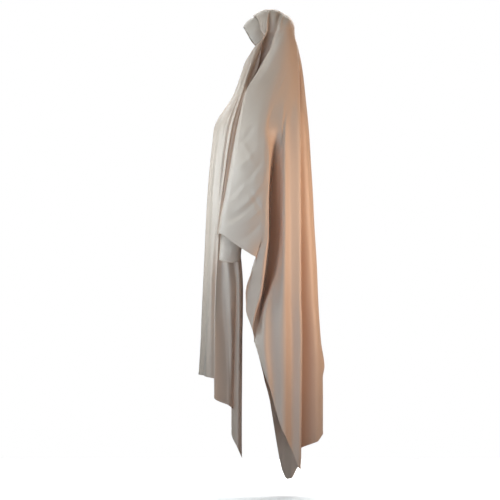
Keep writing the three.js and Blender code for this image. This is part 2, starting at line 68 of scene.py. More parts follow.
BAND_DOME = 0.75  # share of the band that follows the hood's dome; the rest is beside the cheek
CUFF_DEPTH = 70 * MM
CUFF_WIDTH = 46 * MM
CUFF_DROP = 852 * MM
CUFF_LENGTH = 252 * MM
CUFF_SLANT = 12 * MM

# Heights of the folds' knots: shares of crown to chin, chin to wrist, and wrist to the back hem.
LEVELS = dict(
    temple=(0.36, 0, 0),
    brow=(0.45, 0, 0),
    jaw=(0.61, 0, 0),
    throat=(0.99, 0, 0),
    shoulder=(1, 0.15, 0),
    chest=(1, 0.365, 0),
    bust=(1, 0.415, 0),
    elbow=(1, 0.667, 0),
    wrist=(1, 1, 0),
    cuff=(1, 1, 0.12),
    grip=(1, 1, 0.24),
    hip=(1, 1, 0.35),
    thigh=(1, 1, 0.456),
    calf=(1, 1, 0.57),
    knee=(1, 1, 0.617),
    shin=(1, 1, 0.825),
)
HEAD_LEVELS = ("temple", "brow", "jaw")

# The folds of the cape from its front edge to the centre back: at each level, along (a share of the reach
# ahead of the head's axis or behind it) and out (a share of the half-width). crown is the fold's start on the
# crown's profile; sleeve and hem give its lower end, as shares of the sleeve's and the back's drop; far is
# how much lower it ends on the right side, a share of the extra drop there.
BACK_FOLDS = [
    dict(name="front_edge", crown=-0.64, temple=(-0.34, 0.89), brow=(-0.2, 0.88), jaw=(-0.49, 1.02),
         throat=(-0.282, 0.36), shoulder=(-0.398, 0.515), chest=(-0.55, 0.65), elbow=(-0.654, 0.725),
         wrist=(-0.743, 0.79), sleeve=0.912),
    dict(name="strip", crown=0.097, temple=(-0.08, 0.99), brow=(-0.155, 1.03), jaw=(-0.36, 1.12),
         throat=(-0.252, 0.4), shoulder=(-0.368, 0.55), chest=(-0.514, 0.685), elbow=(-0.622, 0.765),
         wrist=(-0.729, 0.83), sleeve=0.907),
    dict(name="hood_valley", crown=0.14, temple=(0.178, 0.91), brow=(0.143, 0.9), jaw=(0.05, 0.91),
         throat=(-0.164, 0.31), shoulder=(-0.322, 0.52), chest=(-0.457, 0.65), elbow=(-0.586, 0.75),
         wrist=(-0.711, 0.83), sleeve=0.916),
    dict(name="shoulder_edge", crown=0.657, temple=(0.5, 1), brow=(0.379, 1.04), jaw=(0.205, 1.12),
         throat=(-0.107, 0.42), shoulder=(-0.322, 0.6), chest=(-0.421, 0.75), elbow=(-0.55, 0.84),
         wrist=(-0.686, 0.88), sleeve=0.9),
    dict(name="arm_front", crown=0.72, temple=(0.63, 0.99), brow=(0.56, 1.04), jaw=(0.46, 1.16),
         throat=(0.035, 0.45), shoulder=(-0.2, 0.635), chest=(-0.28, 0.83), elbow=(-0.36, 0.94),
         wrist=(-0.457, 0.965), sleeve=0.944),
    dict(name="arm_crest", crown=0.765, temple=(0.73, 0.95), brow=(0.7, 1.01), jaw=(0.65, 1.14),
         throat=(0.2, 0.45), shoulder=(-0.03, 0.645), chest=(-0.13, 0.865), elbow=(-0.17, 0.985),
         wrist=(-0.25, 1), sleeve=0.982),
    dict(name="sleeve_corner", crown=0.8, temple=(0.79, 0.9), brow=(0.78, 0.96), jaw=(0.75, 1.1),
         throat=(0.28, 0.44), shoulder=(0.06, 0.64), chest=(-0.06, 0.865), elbow=(-0.075, 0.985),
         wrist=(-0.12, 0.995), cuff=(-0.19, 0.965), grip=(-0.34, 0.93), sleeve=1),
    dict(name="side_roll", crown=0.835, temple=(0.835, 0.85), brow=(0.83, 0.91), jaw=(0.81, 1.06),
         throat=(0.335, 0.42), shoulder=(0.13, 0.625), chest=(-0.025, 0.855), elbow=(-0.035, 0.975),
         wrist=(-0.055, 0.985), cuff=(-0.2, 0.94), grip=(-0.29, 0.89), hip=(-0.318, 0.86), hem=0.66),
    dict(name="arm_rear_ridge", crown=0.865, temple=(0.865, 0.79), brow=(0.865, 0.85), jaw=(0.86, 1),
         throat=(0.36, 0.41), shoulder=(0.185, 0.61), chest=(0, 0.835), elbow=(-0.007, 0.95),
         wrist=(-0.012, 0.96), cuff=(-0.045, 0.95), grip=(-0.095, 0.93), hip=(-0.195, 0.9),
         thigh=(-0.25, 0.88), hem=0.7),
    dict(name="side_valley", crown=0.89, temple=(0.9, 0.72), brow=(0.905, 0.78), jaw=(0.905, 0.92),
         throat=(0.405, 0.385), shoulder=(0.26, 0.58), chest=(0.17, 0.78), bust=(0.155, 0.755),
         elbow=(0.06, 0.66), wrist=(0.02, 0.57), cuff=(-0.018, 0.55), grip=(-0.065, 0.57),
         hip=(-0.125, 0.65), thigh=(-0.2, 0.76), hem=0.726),
    dict(name="low_ridge", crown=0.91, temple=(0.93, 0.65), brow=(0.935, 0.7), jaw=(0.96, 0.83),
         throat=(0.45, 0.355), shoulder=(0.35, 0.545), chest=(0.265, 0.755), elbow=(0.25, 0.745),
         wrist=(0.225, 0.72), cuff=(0.16, 0.745), grip=(0.042, 0.81), hip=(-0.05, 0.855),
         thigh=(-0.055, 0.885), knee=(0, 0.89), hem=0.816, far=0.25),
    dict(name="side_ridge", crown=0.93, temple=(0.955, 0.56), brow=(0.965, 0.61), jaw=(1.01, 0.72),
         throat=(0.49, 0.32), shoulder=(0.425, 0.5), chest=(0.305, 0.77), elbow=(0.296, 0.825),
         wrist=(0.296, 0.845), grip=(0.287, 0.857), thigh=(0.296, 0.865), shin=(0.3, 0.865), hem=0.93,
         far=0.95),
    dict(name="back_valley", crown=0.945, temple=(0.973, 0.47), brow=(0.985, 0.51), jaw=(1.05, 0.61),
         throat=(0.527, 0.27), shoulder=(0.49, 0.445), chest=(0.39, 0.72), elbow=(0.39, 0.765),
         wrist=(0.407, 0.77), grip=(0.41, 0.77), thigh=(0.44, 0.765), shin=(0.43, 0.77), hem=0.96,
         far=0.74),
    dict(name="back_ridge", crown=0.958, temple=(0.99, 0.38), brow=(1.005, 0.41), jaw=(1.085, 0.5),
         throat=(0.555, 0.22), shoulder=(0.555, 0.38), chest=(0.565, 0.65), elbow=(0.57, 0.7),
         wrist=(0.575, 0.715), grip=(0.578, 0.73), thigh=(0.6, 0.735), shin=(0.575, 0.74), hem=1.003,
         far=0.06),
    dict(name="back_step", crown=0.97, temple=(1.005, 0.28), brow=(1.02, 0.31), jaw=(1.11, 0.37),
         throat=(0.585, 0.165), shoulder=(0.6, 0.28), chest=(0.6, 0.45), elbow=(0.607, 0.47),
         wrist=(0.61, 0.48), grip=(0.617, 0.48), thigh=(0.64, 0.49), shin=(0.6, 0.5), hem=0.963),
    dict(name="rear_swell", crown=0.98, temple=(1.015, 0.18), brow=(1.03, 0.2), jaw=(1.125, 0.235),
         throat=(0.61, 0.105), shoulder=(0.65, 0.18), chest=(0.695, 0.305), elbow=(0.74, 0.34),
         wrist=(0.78, 0.36), grip=(0.815, 0.37), thigh=(0.87, 0.385), shin=(0.9, 0.4), hem=0.946),
    dict(name="rear_edge", crown=0.99, temple=(1.02, 0.09), brow=(1.037, 0.1), jaw=(1.14, 0.115),
         throat=(0.63, 0.05), shoulder=(0.685, 0.085), chest=(0.75, 0.155), elbow=(0.805, 0.185),
         wrist=(0.855, 0.2), grip=(0.905, 0.207), thigh=(0.955, 0.215), calf=(1.02, 0.215),
         knee=(0.985, 0.217), shin=(0.99, 0.22), hem=0.931),
    dict(name="centre_back", crown=1, temple=(1.02, 0), brow=(1.037, 0), jaw=(1.143, 0), throat=(0.63, 0),
         shoulder=(0.675, 0), chest=(0.713, 0), elbow=(0.75, 0), wrist=(0.787, 0), grip=(0.824, 0),
         thigh=(0.86, 0), shin=(0.88, 0), hem=0.935),
]

# The folds of the front panel from the centre front to the edge of the side flap. top is where a fold starts:
# the drop as a share of the chin's, along, and out. front and flap give its lower end.
FRONT_FOLDS = [
    dict(name="centre_front", top=(1, -0.36, 0), shoulder=(-0.489, 0), chest=(-0.765, 0), bust=(-0.777, 0),
         elbow=(-0.836, 0), wrist=(-0.881, 0), grip=(-0.921, 0), thigh=(-0.95, 0), knee=(-0.98, 0),
         front=1),
    dict(name="front_ridge", top=(0.99, -0.36, 0.11), shoulder=(-0.49, 0.17), chest=(-0.775, 0.2),
         bust=(-0.787, 0.205), elbow=(-0.846, 0.21), wrist=(-0.893, 0.21), grip=(-0.93, 0.21),
         thigh=(-0.957, 0.21), knee=(-0.991, 0.2), front=1),
    dict(name="front_valley", top=(0.94, -0.345, 0.195), shoulder=(-0.457, 0.28), chest=(-0.72, 0.33),
         bust=(-0.728, 0.335), elbow=(-0.793, 0.345), wrist=(-0.836, 0.35), grip=(-0.87, 0.35),
         thigh=(-0.895, 0.35), knee=(-0.92, 0.34), front=1.002),
    dict(name="side_front_ridge", top=(0.84, -0.305, 0.24), throat=(-0.32, 0.255), shoulder=(-0.45, 0.365),
         chest=(-0.7, 0.44), bust=(-0.714, 0.45), elbow=(-0.78, 0.47), wrist=(-0.82, 0.48),
         grip=(-0.85, 0.485), thigh=(-0.875, 0.49), knee=(-0.893, 0.49), front=1.004),
    dict(name="side_front_valley", top=(0.76, -0.26, 0.265), throat=(-0.28, 0.265), shoulder=(-0.42, 0.42),
         chest=(-0.643, 0.53), elbow=(-0.707, 0.55), wrist=(-0.764, 0.55), grip=(-0.8, 0.543),
         thigh=(-0.807, 0.54), knee=(-0.81, 0.535), front=1.007),
    dict(name="tuck", top=(0.685, -0.22, 0.28), throat=(-0.25, 0.267), shoulder=(-0.4, 0.45),
         chest=(-0.6, 0.57), elbow=(-0.69, 0.61), wrist=(-0.714, 0.593), cuff=(-0.714, 0.565),
         grip=(-0.685, 0.535), hip=(-0.67, 0.53), knee=(-0.657, 0.52), front=1.02),
    dict(name="flap_front", top=(0.63, -0.186, 0.285), throat=(-0.225, 0.268), shoulder=(-0.388, 0.46),
         chest=(-0.567, 0.59), elbow=(-0.66, 0.635), wrist=(-0.7, 0.63), cuff=(-0.72, 0.64),
         grip=(-0.743, 0.685), hip=(-0.757, 0.705), thigh=(-0.761, 0.715), knee=(-0.764, 0.72), flap=0.865),
    dict(name="flap_valley", top=(0.61, -0.164, 0.285), throat=(-0.205, 0.268), shoulder=(-0.38, 0.465),
         chest=(-0.55, 0.6), elbow=(-0.635, 0.645), wrist=(-0.66, 0.615), cuff=(-0.65, 0.615),
         grip=(-0.65, 0.635), hip=(-0.628, 0.615), thigh=(-0.6, 0.59), knee=(-0.57, 0.58), flap=0.882),
    dict(name="flap_tongue", top=(0.605, -0.147, 0.285), throat=(-0.188, 0.268), shoulder=(-0.373, 0.47),
         chest=(-0.536, 0.605), elbow=(-0.615, 0.655), wrist=(-0.61, 0.63), cuff=(-0.57, 0.645),
         grip=(-0.543, 0.665), hip=(-0.536, 0.675), thigh=(-0.521, 0.665), knee=(-0.521, 0.655),
         flap=0.888),
    dict(name="inner_valley", top=(0.605, -0.13, 0.286), throat=(-0.175, 0.268), shoulder=(-0.365, 0.473),
         chest=(-0.525, 0.61), elbow=(-0.598, 0.66), wrist=(-0.55, 0.615), cuff=(-0.49, 0.605),
         grip=(-0.457, 0.607), hip=(-0.467, 0.585), thigh=(-0.475, 0.565), knee=(-0.486, 0.545),
         flap=0.898),
    dict(name="inner_turn", top=(0.605, -0.114, 0.287), throat=(-0.165, 0.268), shoulder=(-0.36, 0.476),
         chest=(-0.515, 0.612), elbow=(-0.585, 0.662), wrist=(-0.51, 0.61), grip=(-0.46, 0.6),
         hip=(-0.48, 0.57), thigh=(-0.5, 0.545), knee=(-0.514, 0.525), shin=(-0.52, 0.53), flap=0.944),
    dict(name="inner_ridge", top=(0.605, -0.1, 0.288), throat=(-0.158, 0.268), shoulder=(-0.355, 0.479),
         chest=(-0.507, 0.615), elbow=(-0.575, 0.664), wrist=(-0.47, 0.61), grip=(-0.414, 0.63),
         hip=(-0.414, 0.625), thigh=(-0.42, 0.615), knee=(-0.43, 0.6), shin=(-0.436, 0.595), flap=0.977),
    dict(name="side_edge", top=(0.605, -0.085, 0.289), throat=(-0.15, 0.268), shoulder=(-0.35, 0.48),
         chest=(-0.5, 0.617), elbow=(-0.565, 0.664), wrist=(-0.42, 0.6), grip=(-0.357, 0.565),
         hip=(-0.362, 0.557), thigh=(-0.37, 0.55), knee=(-0.37, 0.55), shin=(-0.373, 0.55), flap=1),
]

# The forehead band's face edge, from the middle of the forehead to the jaw.
BAND_SECTIONS = [
    dict(at=0, along=-1, out=0, drop=0.29, bulge=0.03),
    dict(at=0.3, along=-0.94, out=0.42, drop=0.32, bulge=0.045),
    dict(at=0.6, along=-0.8, out=0.68, drop=0.42, bulge=0.05),
    dict(at=0.85, along=-0.66, out=0.8, drop=0.52, bulge=0.03),
    dict(at=1, along=-0.49, out=0.86, drop=0.6, bulge=0.015),
]

# The cuff from the edge sewn inside the sleeve down to the wrist.
CUFF_SECTIONS = [
    dict(at=0, depth=1.68, width=0.9, front=-0.52),
    dict(at=0.55, depth=1.2, width=1.1, front=-0.655),
    dict(at=0.75, depth=1.08, width=1.08, front=-0.675),
    dict(at=1, depth=1, width=1, front=-0.69),
]

# Small wrinkles of the sleeve over the bent arm. Each runs between two points given as (y, drop) in
# millimetres, with its half-width and its height; a negative height is a groove.
SLEEVE_WRINKLES = [
    dict(start=(-40, 478), end=(-118, 560), width=7, height=3.1),
    dict(start=(-22, 520), end=(-128, 640), width=8, height=-3.4),
    dict(start=(-60, 560), end=(-132, 668), width=6, height=2.9),
    dict(start=(-12, 585), end=(-120, 700), width=9, height=3.4),
    dict(start=(-30, 640), end=(-138, 722), width=7, height=-3.1),
    dict(start=(-14, 668), end=(-112, 742), width=8, height=2.9),
    dict(start=(-64, 690), end=(-146, 742), width=6, height=3.4),
    dict(start=(-50, 395), end=(-104, 470), width=8, height=-2.6),
    dict(start=(-30, 360), end=(-96, 425), width=9, height=2.3),
    dict(start=(-20, 720), end=(-100, 790), width=8, height=-2.6),
    dict(start=(-70, 610), end=(-20, 705), width=9, height=-2.1),
    dict(start=(-90, 450), end=(-52, 545), width=9, height=1.8),
]

# Small folds laid over the cape's main ones, in fold numbers. Each runs from one number at its upper end to
# another at its lower end, has a width before and after that line, a height in millimetres at either end
# (negative for a groove) and a sharpness (1 is a crease, 2 is soft). It comes in between the first two drops
# and goes out between the last two, in metres.
CAPE_FOLDS = [
    dict(at=(1.5, 2.2), wide=(0.3, 0.45), height=(-9, -20), sharp=2, drops=(0.0, 0.04, 0.24, 0.3)),
    dict(at=(1.15, 1.3), wide=(0.2, 0.16), height=(3, 3), sharp=1.4, drops=(0.0, 0.03, 0.16, 0.24)),
    dict(at=(2.85, 1.9), wide=(0.25, 0.16), height=(-13, -9), sharp=2, drops=(0.0, 0.02, 0.08, 0.14)),
    dict(at=(3.1, 2.0), wide=(0.12, 0.3), height=(4, 3), sharp=1.4, drops=(0.0, 0.02, 0.1, 0.16)),
    dict(at=(9.6, 9.9), wide=(0.5, 0.5), height=(5, 6), sharp=1.8, drops=(0.3, 0.38, 0.55, 0.75)),
    dict(at=(10.3, 10.3), wide=(0.4, 0.4), height=(6, 6), sharp=1.6, drops=(0.4, 0.55, 0.85, 0.95)),
    dict(at=(10.0, 10.0), wide=(0.3, 0.16), height=(7, 7), sharp=1.5, drops=(0.88, 1.0, 1.3, 1.5)),
    dict(at=(10.36, 10.36), wide=(0.28, 0.3), height=(-7, -6), sharp=2, drops=(0.92, 1.02, 1.4, 1.6)),
    dict(at=(10.85, 10.85), wide=(0.3, 0.4), height=(4, 4), sharp=1.3, drops=(0.42, 0.55, 1.4, 1.6)),
    dict(at=(13.0, 13.0), wide=(0.6, 0.15), height=(4, 4), sharp=1.3, drops=(0.3, 0.5, 1.5, 1.6)),
    dict(at=(12.1, 12.1), wide=(0.5, 0.5), height=(-4, -4), sharp=2, drops=(0.9, 1.05, 1.5, 1.6)),
    dict(at=(11.9, 12.9), wide=(0.9, 0.7), height=(3, 4), sharp=1.5, drops=(0.06, 0.12, 0.35, 0.5)),
    dict(at=(1.42, 1.42), wide=(0.2, 0.2), height=(-5, -4), sharp=1.5, drops=(0.24, 0.32, 0.6, 0.7)),
    dict(at=(1.72, 1.72), wide=(0.16, 0.16), height=(3.5, 3), sharp=1.4, drops=(0.24, 0.32, 0.6, 0.7)),
    dict(at=(2.3, 2.3), wide=(0.22, 0.2), height=(-5, -4), sharp=1.5, drops=(0.28, 0.36, 0.62, 0.72)),
    dict(at=(3.13, 3.16), wide=(0.07, 0.07), height=(-3, -3), sharp=1.5, drops=(0.28, 0.36, 0.6, 0.74)),
    dict(at=(3.26, 3.3), wide=(0.08, 0.08), height=(2, 2), sharp=1.5, drops=(0.28, 0.36, 0.6, 0.74)),
    dict(at=(7.9, 7.9), wide=(0.9, 0.12), height=(7, 7), sharp=1.5, drops=(0.42, 0.5, 0.86, 0.95)),
    dict(at=(9.9, 9.7), wide=(0.5, 0.4), height=(-5, -5), sharp=2, drops=(0.45, 0.6, 0.9, 1.0)),
    dict(at=(15.6, 15.6), wide=(0.7, 0.7), height=(2, 4), sharp=2, drops=(0.4, 0.8, 1.5, 1.7)),
]

# Where the visible cape departs from the solid one, told in the same way: inward is towards the middle
# plane and ahead towards the front, in millimetres, negative the other way and zero where not given. In
# turn: the deep fold behind the back ridge, the strip beside the face, the hood's side above the shoulder,
# the dent beside the cheek (two rows), and the turned edge at the side hem (two rows).
CAPE_TUCKS = [
    dict(at=(13.85, 13.85), wide=(0.3, 0.62), inward=(20, 50), ahead=(3, 8), sharp=1.8,
         drops=(0.1, 0.3, 1.6, 1.8)),
    dict(at=(1.3, 1.2), wide=(1.0, 0.8), inward=(8, 11), sharp=2, drops=(0.074, 0.12, 0.22, 0.3)),
    dict(at=(3.6, 4.2), wide=(0.5, 1.4), inward=(-5, -5), sharp=2, drops=(0.074, 0.13, 0.22, 0.32)),
    dict(at=(1.9, 2.1), wide=(0.6, 0.5), inward=(22, 16), sharp=2, drops=(0.08, 0.13, 0.24, 0.28)),
    dict(at=(2.4, 2.55), wide=(0.4, 0.42), inward=(14, 26), sharp=2, drops=(0.14, 0.2, 0.235, 0.265)),
    dict(at=(9.0, 9.1), wide=(0.7, 0.7), inward=(-10, -30), sharp=2, drops=(0.92, 1.06, 1.18, 1.3)),
    dict(at=(8.0, 8.0), wide=(0.7, 0.6), inward=(6, 8), sharp=2, drops=(0.92, 1.04, 1.14, 1.25)),
]

# Small folds of the front panel.
FRONT_PLEATS = [
    dict(at=(1.5, 1.6), wide=(0.35, 0.35), height=(2, 3), sharp=1.6, drops=(0.36, 0.5, 1.1, 1.3)),
    dict(at=(2.5, 2.4), wide=(0.35, 0.3), height=(-2, -3), sharp=1.8, drops=(0.34, 0.5, 1.1, 1.3)),
    dict(at=(4.4, 4.4), wide=(0.25, 0.25), height=(-3, -2.5), sharp=1.6, drops=(0.26, 0.34, 0.9, 1.2)),
    dict(at=(5.5, 5.4), wide=(0.22, 0.22), height=(3, 2.5), sharp=1.5, drops=(0.22, 0.3, 0.7, 0.9)),
    dict(at=(6.4, 6.4), wide=(0.22, 0.22), height=(-3.5, -3), sharp=1.5, drops=(0.22, 0.3, 0.6, 0.75)),
    dict(at=(7.6, 7.4), wide=(0.25, 0.25), height=(3, 3), sharp=1.5, drops=(0.2, 0.28, 0.5, 0.66)),
    dict(at=(8.6, 8.6), wide=(0.3, 0.3), height=(-4, -3), sharp=1.5, drops=(0.2, 0.28, 0.5, 0.66)),
]

# Where the visible front panel departs from the solid one, told in the same way: its side flap is flatter,
# with a deeper gap.
FRONT_TUCKS = [
    dict(at=(7.0, 7.0), wide=(0.9, 0.45), inward=(-10, -24), sharp=2, drops=(0.9, 1.05, 1.55, 1.7)),
    dict(at=(8.15, 8.15), wide=(0.5, 0.7), inward=(0, 36), sharp=2, drops=(1.0, 1.2, 1.55, 1.7)),
]

# The crown's outline along y, in millimetres: it rises a little ahead of its middle and is rounder behind.
CROWN_SWELLS = [
    dict(at=-10, wide=24, height=2.4),
    dict(at=54, wide=18, height=-4.5),
]

# How finely the sheets are divided: rows down them, and columns from each fold to the next or all around.
CROWN_ROWS = 26
CAPE_ROWS = 168
CAPE_COLUMNS = [20, 10, 10, 8, 7, 7, 7, 7, 6, 7, 7, 7, 7, 7, 7, 7, 6]
FRONT_ROWS = 170
FRONT_COLUMNS = [8, 8, 8, 8, 9, 9, 9, 8, 8, 8, 8, 8]
HEM_ROWS = 3
ROW_EASE = 1.12  # 1 is even; above it the rows are closer together at the head
BAND_ROWS = 36
BAND_HALF_COLUMNS = 90
CUFF_ROWS = 72
CUFF_COLUMNS = 72

# Small sizes of the visible cloth.
ON_MIDDLE = 1e-6  # nearer than this to x = 0 is on the middle plane
BAND_CLOTH = 1.1 * MM
CUFF_CLOTH = 0.9 * MM
HEM_WIDTH = 11 * MM
HEM_RELIEF = 0.5 * MM
HEM_FULL = 0.85  # share of the hem's width over which its relief is full
EDGE_DIP = 4.2 * MM  # how far the hood's front edge is pressed down onto the band
EDGE_DIP_WIDTH = 0.7  # in fold numbers
BAND_DEPTH = LAP + 1.2 * MM  # of the band's hidden edge under the cape
CUFF_DIP = 8 * MM  # how much lower the cuff's rim is on its outer side
CUFF_SEAM = 0.8 * MM  # depth of the groove where the cuff meets the inner sleeve
CUFF_SEAM_AT = 0.62
CUFF_SEAM_WIDTH = 0.012
GATHERS = 4.5  # pleats behind the band for each fold number
GATHER_SHARPNESS = 0.7
GATHER_DEPTH = 0.7  # at the crown, in millimetres
GATHER_SWELL = 2.0  # what the dome adds to that depth
WRINKLE_BOW = 6  # how far a sleeve wrinkle bends from its straight line, in millimetres
CRISP = 0.85  # share of straight lines between the main folds behind the arm


def drop_of(name):
    """Drop below the crown of a level: its three shares times the three lengths."""
    head, arm, skirt = LEVELS[name]
    return head * CHIN_DROP + arm * (WRIST_DROP - CHIN_DROP) + skirt * (BACK_DROP - WRIST_DROP)


def reach(along, front, rear):
    """y of a share along the depth: times the front reach when negative and the rear reach otherwise."""
    along = np.asarray(along, float)
    return along * np.where(along < 0, front, rear)


def body_y(along):
    return reach(along, FRONT_REACH, REAR_REACH)


def head_y(along):
    return reach(along, HEAD_FRONT, HEAD_REAR)


def crown_z(y):
    """Superellipse in the middle plane: z = H((1 - |t|^n)^(1/n) - 1), t from the top to either end."""
    share = np.abs(y - CROWN_TOP_Y) / np.where(y < CROWN_TOP_Y, CROWN_FRONT_REACH, CROWN_REAR_REACH)
    height = np.maximum(0, 1 - share**CROWN_SQUARENESS) ** (1 / CROWN_SQUARENESS)
    return CROWN_HEIGHT * (height - 1)


def smooth(knots, values, t):
    """Cubic pieces through the knots that never overshoot: the slope at a knot is the harmonic mean of the
    slopes beside it, and zero where the values turn. values is (knots, ...), and t broadcasts with the
    rest."""
    knots = np.asarray(knots, float)
    values = np.asarray(values, float)
    t = np.clip(np.asarray(t, float), knots[0], knots[-1])
    values = np.broadcast_to(values.reshape(values.shape + (1,) * (1 + t.ndim - values.ndim)),
                             (len(knots),) + t.shape)
    spans = np.diff(knots).reshape((-1,) + (1,) * t.ndim)
    rise = np.diff(values, axis=0) / spans
    before, after = rise[:-1], rise[1:]
    total = np.where(before * after > 0, before + after, 1)
    inner = np.where(before * after > 0, 2 * before * after / total, 0)
    slope = np.concatenate([rise[:1], inner, rise[-1:]])
    i = np.clip(np.searchsorted(knots, t, side="right") - 1, 0, len(knots) - 2)
    width = knots[i + 1] - knots[i]
    s = (t - knots[i]) / width

    def pick(array, k):
        return np.take_along_axis(array, k[None], axis=0)[0]

    return (
        (1 + 2 * s) * (1 - s) ** 2 * pick(values, i)
        + s * (1 - s) ** 2 * width * pick(slope, i)
        + s * s * (3 - 2 * s) * pick(values, i + 1)
        - s * s * (1 - s) * width * pick(slope, i + 1)
    )


def course_of(number, fold):
    """A fold's own course: its number and its knots (drop, y, x) from the top down."""
    names = [name for name in LEVELS if name in fold]
    drops = [drop_of(name) for name in names]
    ys = [head_y(fold[n][0]) if n in HEAD_LEVELS else body_y(fold[n][0]) for n in names]
    xs = [fold[n][1] * (HEAD_HALF_WIDTH if n in HEAD_LEVELS else HALF_SPAN) for n in names]
    if "top" in fold:
        drops.insert(0, fold["top"][0] * CHIN_DROP)
        ys.insert(0, body_y(fold["top"][1]))
        xs.insert(0, fold["top"][2] * HALF_SPAN)
    return dict(number=number, drops=drops, ys=[float(y) for y in ys], xs=xs)


def past_middle(courses, middle, beside):
    """Adds the mirror image of the course beside the middle fold, so that the sheet is smooth across it."""
    mirrored = dict(courses[beside], number=2 * middle - beside, xs=[-x for x in courses[beside]["xs"]])
    return [*courses, mirrored] if beside < middle else [mirrored, *courses]


BACK_LAST = len(BACK_FOLDS) - 1
BACK_COURSES = past_middle([course_of(k, f) for k, f in enumerate(BACK_FOLDS)], BACK_LAST, BACK_LAST - 1)
FRONT_COURSES = past_middle([course_of(k, f) for k, f in enumerate(FRONT_FOLDS)], 0, 1)


def straight(knots, values, t):
    """Straight lines through the knots: values is (knots, ...) with t's shape behind."""
    i = np.clip(np.searchsorted(knots, t, side="right") - 1, 0, len(knots) - 2)
    first, second = (np.take_along_axis(values, k[None], axis=0)[0] for k in (i, i + 1))
    knots = np.asarray(knots, float)
    share = (t - knots[i]) / (knots[i + 1] - knots[i])
    return first + (second - first) * share


def folded(courses, u, drop, crisp=0.0):
    """Point of a folded sheet: every fold's course at the drop, then smoothly across the folds at u. crisp is
    the share of straight lines from fold to fold, which makes their crests and valleys sharp."""
    u, drop = np.broadcast_arrays(u, drop)
    numbers = [c["number"] for c in courses]
    point = [-drop]
    for key in ("ys", "xs"):
        values = np.stack([smooth(c["drops"], c[key], drop) for c in courses])
        soft = smooth(numbers, values, u)
        point.insert(0, soft + (straight(numbers, values, u) - soft) * crisp)
    return np.stack(point, axis=-1)


def across(values, u):
    """A value given once for each fold, at u."""
    return smooth(np.arange(len(values)), np.asarray(values, float), u)


def hood(u, turn):
    """Point of the hood: a quarter of an ellipse from the crown's profile (turn 0) to the temple (turn a
    right angle)."""
    y = across([float(head_y(f["crown"])) for f in BACK_FOLDS], u)
    top = crown_z(y)
    temple = folded(BACK_COURSES, u, np.full(u.shape, drop_of("temple")))
    side = np.sin(turn)
    x = temple[..., 0] * side
    z = top + (temple[..., 2] - top) * (1 - np.cos(turn))
    return np.stack([x, y + (temple[..., 1] - y) * side, z], axis=-1)


def step(t, low, high):
    """0 below low, 1 above high, and 3t^2 - 2t^3 between them."""
    t = np.clip((t - low) / (high - low), 0, 1)
    return t * t * (3 - 2 * t)


def plateau(t, begin, full, fade, end):
    """0 up to begin, 1 from full to fade, 0 from end on, and eased between them."""
    return step(t, begin, full) * (1 - step(t, fade, end))


def normals_of(points):
    """Unit normals of a grid: the row direction cross the column direction, from central differences."""
    down = np.gradient(points, axis=0)
    over = np.gradient(points, axis=1)
    normal = np.cross(down, over)
    return normal / np.maximum(np.linalg.norm(normal, axis=-1, keepdims=True), 1e-12)


def raised(points, height):
    """The grid moved along its normals by a height at each point."""
    return points + normals_of(points) * height[..., None]


def away_from_head(points):
    """Unit directions from the middle of the head, which lies one crown height under the origin."""
    away = points + np.array([0, 0, CROWN_HEIGHT])
    return away / np.linalg.norm(away, axis=-1, keepdims=True)


def lengths_along(points, axis):
    """Arc length from the grid's first line, along one of its axes."""
    pieces = np.linalg.norm(np.diff(points, axis=axis), axis=-1)
    start = np.zeros_like(np.take(pieces, [0], axis=axis))
    return np.concatenate([start, np.cumsum(pieces, axis=axis)], axis=axis)


def row_drops(top, end, count):
    """Drops of a sheet's rows from its top to its hem, closer together at the head, and those in the hem."""
    share = ((np.arange(count + 1) / count) ** ROW_EASE)[:, None]
    last = end - HEM_WIDTH + HEM_WIDTH * (np.arange(HEM_ROWS) + 1)[:, None] / HEM_ROWS
    return np.concatenate([top + (end - HEM_WIDTH - top) * share, last])


def fold_columns(counts):
    """Columns in fold numbers: counts[k] of them between fold k and the next."""
    parts = [k + np.arange(n) / n for k, n in enumerate(counts)]
    return np.concatenate([*parts, [len(counts)]])


def sheet_mesh(name, points, flip=False, loop=False):
    """A mesh from a grid of points. UV map cloth holds arc lengths in metres, and UV map hem holds the length
    along the lower edge and the distance from it."""
    rows, columns = points.shape[:2]
    index = np.arange(rows * columns).reshape(rows, columns)
    if loop:
        index = np.concatenate([index, index[:, :1]], axis=1)
    a, b = index[:-1, :-1], index[:-1, 1:]
    c, d = index[1:, 1:], index[1:, :-1]
    faces = np.stack([a, d, c, b] if flip else [a, b, c, d], axis=-1).reshape(-1, 4)
    mesh = bpy.data.meshes.new(name)
    mesh.from_pydata(points.reshape(-1, 3).tolist(), [], faces.tolist())
    closed = np.concatenate([points, points[:, :1]], axis=1) if loop else points
    girths = lengths_along(closed, 1)
    height = lengths_along(closed, 0)
    grid = np.arange(rows * closed.shape[1]).reshape(rows, -1)
    corners = np.stack([grid[:-1, :-1], grid[:-1, 1:], grid[1:, 1:], grid[1:, :-1]], axis=-1)
    if flip:
        corners = corners[..., [0, 3, 2, 1]]
    for label, along, up in (("cloth", girths[rows // 2], height), ("hem", girths[-1], height[-1] - height)):
        layer = mesh.uv_layers.new(name=label)
        values = np.stack(np.broadcast_arrays(along, up), axis=-1).reshape(-1, 2)[corners.reshape(-1)]
        layer.data.foreach_set("uv", values.ravel().astype(np.float32))
    mesh.polygons.foreach_set("use_smooth", np.ones(len(faces), bool))
    mesh.update()
    return mesh


def placed(name, mesh, material):
    """An object at the origin, in the scene."""
    piece = bpy.data.objects.new(name, mesh)
    bpy.context.scene.collection.objects.link(piece)
    mesh.materials.append(material)
    return piece


def thicken(piece, thickness=CLOTH):
    """Gives the sheet its thickness inwards, and closes its edges."""
    wall = piece.modifiers.new("thickness", "SOLIDIFY")
    wall.thickness = thickness
    wall.offset = -1
    wall.use_even_offset = False


